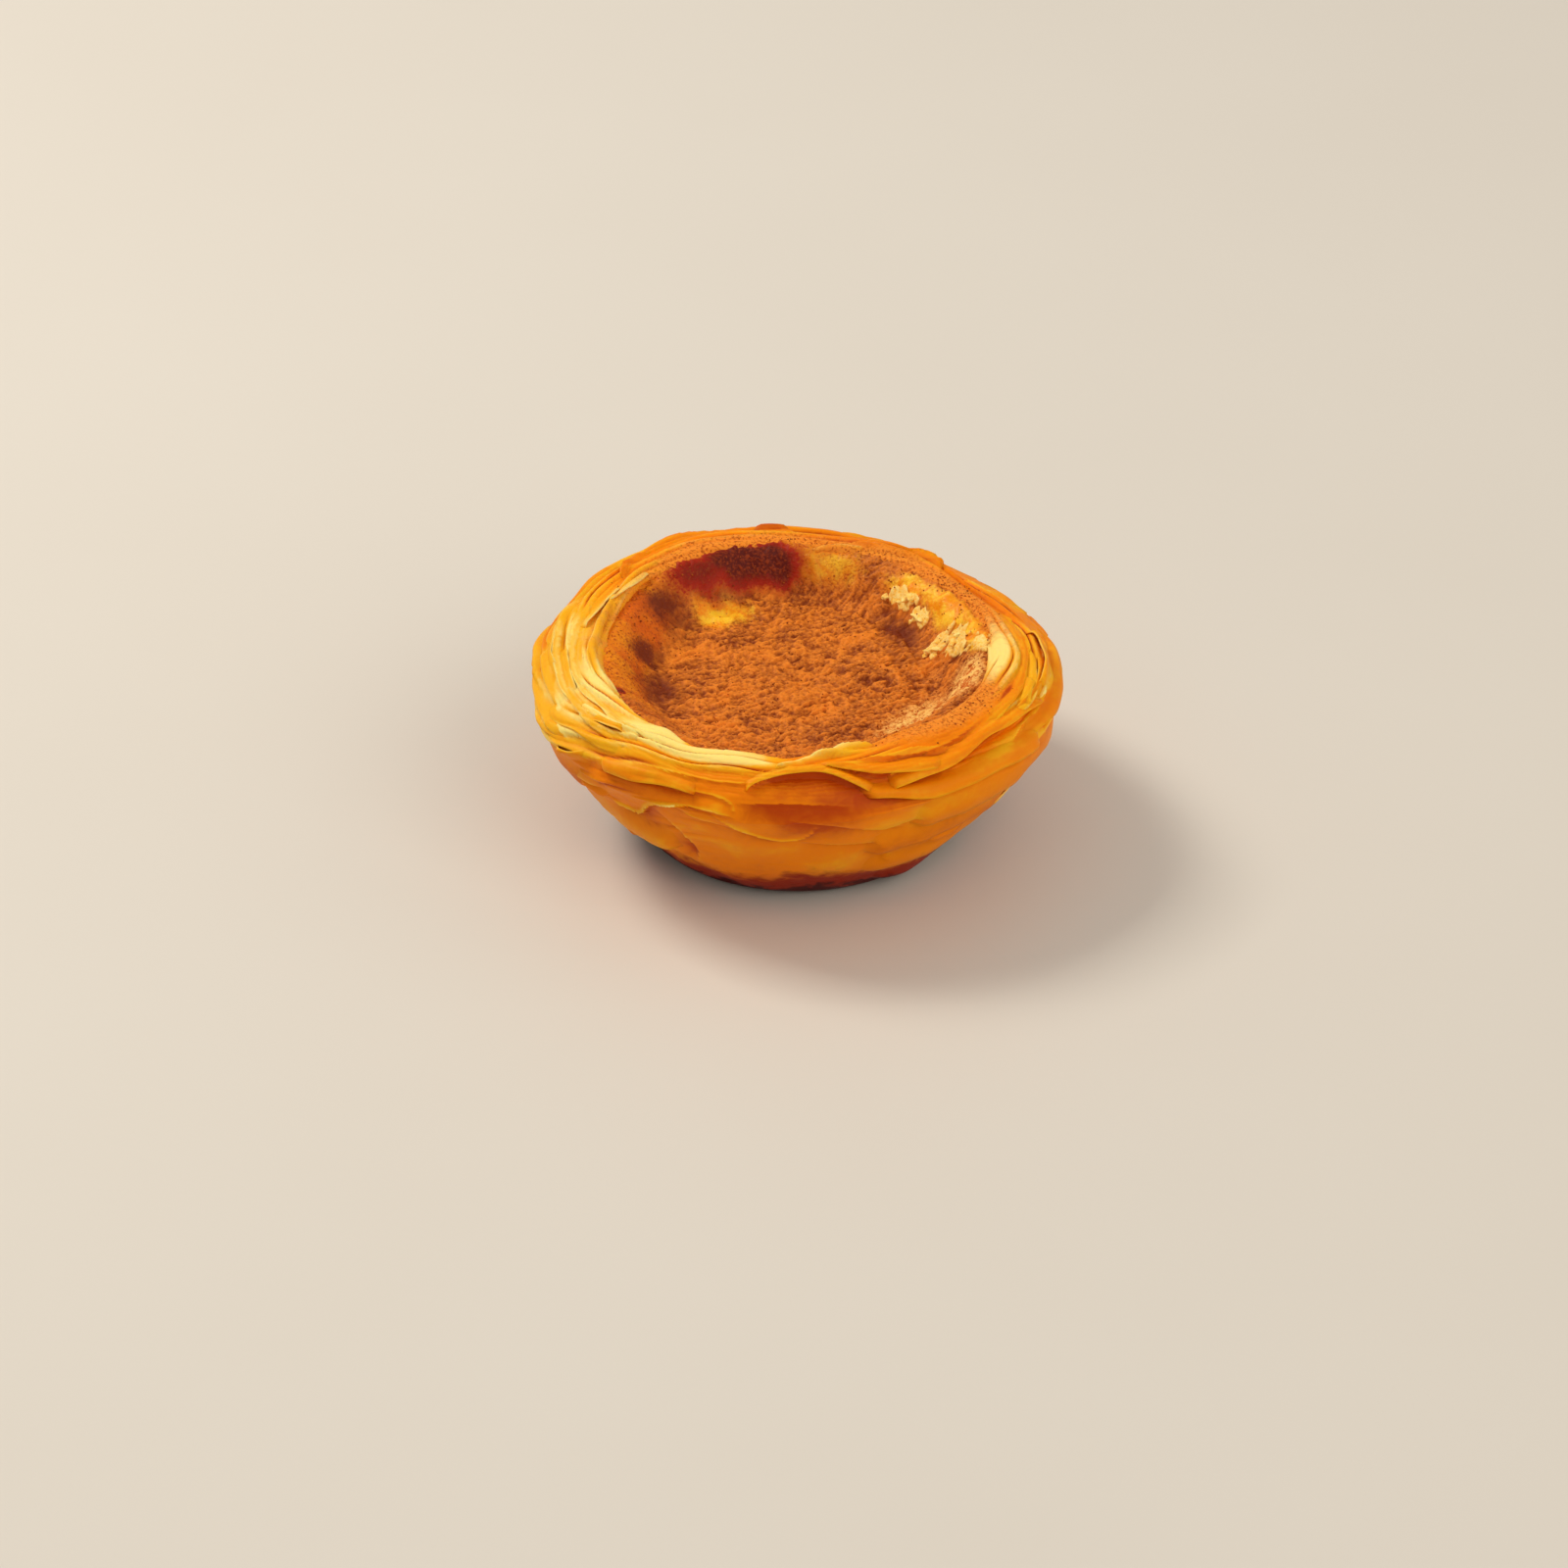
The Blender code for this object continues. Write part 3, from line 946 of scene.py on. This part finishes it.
# Painted shade and light: the cinnamon crust is darker where it is low and paler on its raised lumps.
cinnamon = (height + (speck - 0.5) * 0.9 + (patch - 0.5) * 0.6).between(0.1, 0.85)
cinnamon = cinnamon.tint(light_colour(134, 54, 2), light_colour(236, 136, 40))
cinnamon = (patch.between(0.4, 0.75) * 0.35).tint(cinnamon, light_colour(236, 128, 14))
# Painted sheen: in the lit patches the dusting is painted paler, most on the raised crust.
painted_sheen = (height + (speck - 0.5) * 1.3).between(0.25, 0.65)
painted_sheen = painted_sheen.tint(light_colour(214, 112, 34), light_colour(255, 202, 112))
cinnamon = (lit_dust + (speck - 0.5) * 0.5).between(0.2, 0.9).tint(cinnamon, painted_sheen)
bare_skin = patch.between(0.3, 0.7).tint(light_colour(216, 98, 0), light_colour(234, 140, 8))
bare_skin = speck.between(0.52, 0.68).tint(bare_skin, light_colour(178, 76, 6))
colour = (wall + (speck - 0.5) * 0.8 + (patch - 0.5) * 0.5).between(0.25, 0.8).tint(cinnamon, bare_skin)
# The yolk-yellow flow; its paler yellow spots are partly painted highlights.
lemon = (grain(custard_place, 2.4 * mm, 3.0, 0.8) + (speck - 0.5) * 0.3).between(0.36, 0.66)
lemon = lemon.tint(light_colour(244, 146, 0), light_colour(255, 202, 48))
colour = (yolk + (speck - 0.5) * 0.5 + (patch - 0.5) * 0.3).between(0.2, 0.85).tint(colour, lemon)
# Brown stains, and painted shade where the crust is low.
browned = (stain + (speck - 0.5) * 0.8 + (height - 0.5) * -0.5).between(0.15, 1.0)
colour = browned.tint(colour, light_colour(118, 42, 4))
curd = speck.between(0.3, 0.7).tint(light_colour(252, 190, 66), light_colour(255, 226, 140))
colour = cream.between(0.3, 0.8).tint(colour, curd)
burnt = scorch + (speck - 0.5) * 0.5 + (patch - 0.5) * 0.4
colour = burnt.between(0.1, 0.5).tint(colour, light_colour(164, 30, 0))
char = speck.between(0.4, 0.75).tint(light_colour(92, 12, 2), light_colour(150, 56, 8))
colour = burnt.between(0.42, 0.85).tint(colour, char)
connect(colour, custard_shader, "Base Color")
connect(0.66 - wall * 0.16 - yolk * 0.3, custard_shader, "Roughness")
relief(speck, custard_shader, 0.22 * mm, 0.7)
custard = make_piece(shape, "baked_custard", custard_material)
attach(custard, "root")
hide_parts("custard_filling")


# ---------------------------------------------------------------- crumbs and cinnamon
# Curds of pale custard that broke from its skin on the right, and the loose grains of cinnamon,
# which lie on the custard and, where they missed it, on the back and the right of the rim.

# Turn, mm from the middle, spread round and spread across in mm, how many, and size in mm.
curds = (
    (50, 24.2, 2.4, 0.4, 4, 0.8),
    (41, 23.0, 1.0, 0.7, 3, 0.7),
    (21, 21.6, 0.8, 1.7, 4, 0.8),
    (13, 23.6, 2.0, 0.7, 3, 0.9),
)
shape = bmesh.new()
for turn, away, spread, across, count, size in curds:
    for _ in range(count):
        here = turn + math.degrees(draws.gauss(0, 0.6) * spread / away)
        radius = (away + draws.gauss(0, 0.6) * across) * mm
        lump = bmesh.ops.create_icosphere(shape, subdivisions=3, radius=1.0)["verts"]
        reach = size * draws.uniform(0.5, 1.1) * mm
        lean = draws.uniform(0, math.pi)
        seed = draws.uniform(0, 90)
        foot = pressed(here, radius, custard_at(here, radius)[0])
        for vertex in lump:
            rough = 1 + 0.7 * noise.noise(vertex.co * 1.1 + Vector((seed, 0, 0)))
            rough += 0.2 * noise.noise(vertex.co * 2.6 + Vector((0, seed, 0)))
            flattened = vertex.co * rough * reach * Vector((1.25, 0.7, 0.36))
            vertex.co = foot + Matrix.Rotation(lean, 3, "Z") @ flattened
curd_material, curd_shader, curd_place = new_finish(
    "pale_curd", 0.5, subsurface=0.2, depth=0.8 * mm, gloss=0.25
)
curd_spots = grain(curd_place, 1.1 * mm, 3.0)
connect(
    curd_spots.between(0.35, 0.65).tint(light_colour(250, 184, 60), light_colour(255, 224, 136)),
    curd_shader,
    "Base Color",
)
relief(grain(curd_place, 0.5 * mm), curd_shader, 0.15 * mm)
curds_piece = make_piece(shape, "custard_curds", curd_material)
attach(curds_piece, "root")

# The cinnamon falls by handfuls, each made apart, which is quicker than one ever larger shape.
handfuls_on_custard = 12
handfuls_on_rim = 12
grains_in_handful = 100
shape = bmesh.new()
for handful in range(handfuls_on_custard + handfuls_on_rim):
    few = bmesh.new()
    for _ in range(grains_in_handful):
        if handful < handfuls_on_custard:
            turn = draws.uniform(0, 360)
            radius = math.sqrt(draws.uniform(0, 1)) * skin_radius
            landed = pressed(turn, radius, custard_at(turn, radius)[0])
        else:
            turn = draws.uniform(-75, 165)
            down = draws.uniform(-4.5, 4.5) * mm
            if draws.random() > dusting(turn % 360, down):
                continue
            landed = dough(turn, down, 0.05 * mm)
        reach = draws.uniform(0.06, 0.16) * mm
        bmesh.ops.create_icosphere(
            few, subdivisions=1, radius=reach, matrix=Matrix.Translation(landed)
        )
    few_mesh = bpy.data.meshes.new("handful")
    few.to_mesh(few_mesh)
    few.free()
    shape.from_mesh(few_mesh)
    bpy.data.meshes.remove(few_mesh)
grain_material, grain_shader, grain_place = new_finish("cinnamon", 0.8, gloss=0.2)
grain_spots = grain(grain_place, 1.5 * mm)
connect(
    grain_spots.between(0.35, 0.65).tint(light_colour(126, 54, 10), light_colour(186, 92, 24)),
    grain_shader,
    "Base Color",
)
cinnamon_grains = make_piece(shape, "cinnamon_grains", grain_material, smooth=False)
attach(cinnamon_grains, "root")
